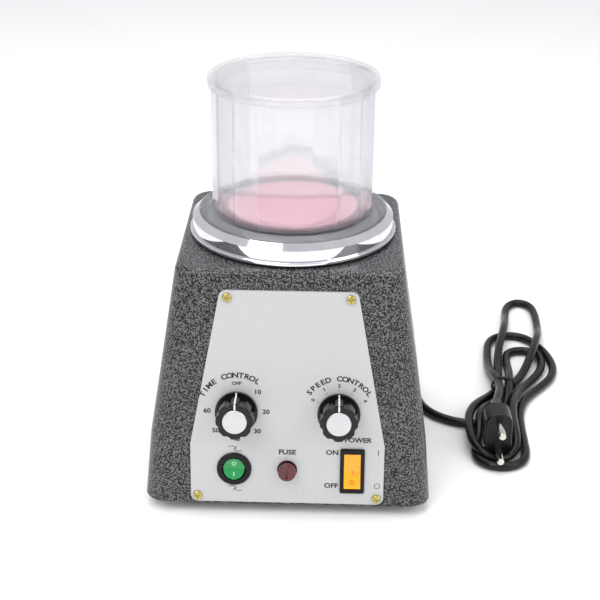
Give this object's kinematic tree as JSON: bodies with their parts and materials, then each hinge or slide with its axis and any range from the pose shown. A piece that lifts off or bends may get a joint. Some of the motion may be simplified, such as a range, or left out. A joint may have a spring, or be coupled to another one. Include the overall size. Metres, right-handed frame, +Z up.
{
  "type": "magnetic tumbler",
  "caption": "Bench-top magnetic tumbler: tapered steel cabinet with a spinning magnet disc under a clear, lidded polishing bowl, with timer, speed, direction and power controls.",
  "frame": {"origin": "on the floor, under the middle of the cabinet and on the rotor's axis", "axes": "+Z up along the rotor's axis, -Y out of the front panel, +X to the operator's right"},
  "size_m": [0.2888, 0.3499, 0.2611],
  "materials": {
    "hammered_paint": "hammertone",
    "panel_metal": "satin",
    "plated_steel": "zinc plated",
    "yellow_zinc": "yellow zinc",
    "black_rubber": "matt",
    "polished_steel": "polished",
    "seat_sheet": "satin",
    "clear_acrylic": "clear",
    "pink_mat": "matt",
    "knob_plastic": "gloss",
    "knob_cap_metal": "satin",
    "green_rocker": "gloss",
    "amber_rocker": "gloss",
    "switch_black": "satin",
    "fuse_cap_red": "gloss",
    "fuse_glass": "clear",
    "motor_steel": "plated",
    "cast_aluminium": "cast",
    "copper": "enamelled",
    "dark_magnet": "sintered",
    "nickel_magnet": "nickel plated",
    "fan_plastic": "satin",
    "board_green": "lacquered",
    "component_blue": "gloss",
    "gland_black": "satin",
    "cord_pvc": "satin",
    "tie_black": "satin",
    "pin_nickel": "nickel plated"
  },
  "bodies": {
    "cabinet": {"casing": "hammered_paint", "base_plate": "plated_steel", "base_screws": "plated_steel", "rubber_feet": "black_rubber", "foot_screws": "plated_steel", "control_panel": "panel_metal", "panel_screws": "yellow_zinc", "ring_gasket": "black_rubber", "bowl_ring": "polished_steel", "seat_plate": "seat_sheet", "clamp_screws": "plated_steel", "motor_plate": "plated_steel", "motor_spacers": "plated_steel", "motor_screws": "plated_steel", "motor_can": "motor_steel", "motor_top_bell": "cast_aluminium", "motor_bottom_bell": "cast_aluminium", "bell_bolts": "plated_steel", "motor_bearings": "motor_steel", "stator_magnets": "dark_magnet", "brush_holders": "copper", "carbon_brushes": "dark_magnet", "timer_body": "switch_black", "speed_switch_body": "switch_black", "control_nuts": "plated_steel", "direction_switch_housing": "switch_black", "power_switch_housing": "switch_black", "switch_terminals": "yellow_zinc", "fuse_holder_body": "switch_black", "board_standoffs": "plated_steel", "control_board": "board_green", "board_components": "component_blue", "gland_body": "gland_black", "cord_boot": "cord_pvc", "power_cord": "cord_pvc", "cord_hank": "cord_pvc", "cord_tie": "tie_black", "plug_body": "cord_pvc", "plug_pins": "pin_nickel"},
    "bowl": {"bowl": "clear_acrylic", "bowl_mat": "pink_mat"},
    "lid": {"lid": "clear_acrylic"},
    "rotor": {"motor_shaft": "motor_steel", "armature_core": "motor_steel", "armature_windings": "copper", "commutator": "copper", "cooling_fan": "fan_plastic", "magnet_disc": "cast_aluminium", "drive_magnets": "nickel_magnet", "disc_grub_screw": "plated_steel"},
    "time_knob": {"time_knob": "knob_plastic", "time_knob_cap": "knob_cap_metal", "timer_shaft": "motor_steel"},
    "speed_knob": {"speed_knob": "knob_plastic", "speed_knob_cap": "knob_cap_metal", "speed_shaft": "motor_steel"},
    "direction_rocker": {"direction_rocker": "green_rocker"},
    "power_rocker": {"power_rocker": "amber_rocker"},
    "fuse_carrier": {"fuse_cartridge": "fuse_glass"},
    "fuse_cap": {"fuse_cap": "fuse_cap_red"}
  },
  "joints": [
    {"name": "bowl_lift", "type": "slide", "parent": "cabinet", "child": "bowl", "axis": [0, 0, 1], "range_m": [0, 0.06]},
    {"name": "lid_lift", "type": "slide", "parent": "bowl", "child": "lid", "axis": [0, 0, 1], "range_m": [0, 0.06]},
    {"name": "rotor_spin", "type": "hinge", "parent": "cabinet", "child": "rotor", "pos_m": [0, 0, 0.1], "axis": [0, 0, 1], "continuous": true},
    {"name": "timer_turn", "type": "hinge", "parent": "cabinet", "child": "time_knob", "pos_m": [-0.0315, -0.08408, 0.07045], "axis": [0, -0.9888, 0.149], "range_deg": [-270, 0]},
    {"name": "speed_turn", "type": "hinge", "parent": "cabinet", "child": "speed_knob", "pos_m": [0.0315, -0.08408, 0.07045], "axis": [0, -0.9888, 0.149], "range_deg": [-62, 62]},
    {"name": "direction_rock", "type": "hinge", "parent": "cabinet", "child": "direction_rocker", "pos_m": [-0.033, -0.08581, 0.03222], "axis": [1, 0, 0], "range_deg": [0, 18]},
    {"name": "power_rock", "type": "hinge", "parent": "cabinet", "child": "power_rocker", "pos_m": [0.0405, -0.08581, 0.03222], "axis": [1, 0, 0], "range_deg": [0, 18]},
    {"name": "fuse_draw", "type": "slide", "parent": "cabinet", "child": "fuse_carrier", "axis": [0, -0.996, 0.0899], "range_m": [0, 0.036]},
    {"name": "fuse_cap_turn", "type": "hinge", "parent": "fuse_carrier", "child": "fuse_cap", "pos_m": [0, -0.08979, 0.03258], "axis": [0, -0.996, 0.0899], "range_deg": [0, 60]}
  ]
}
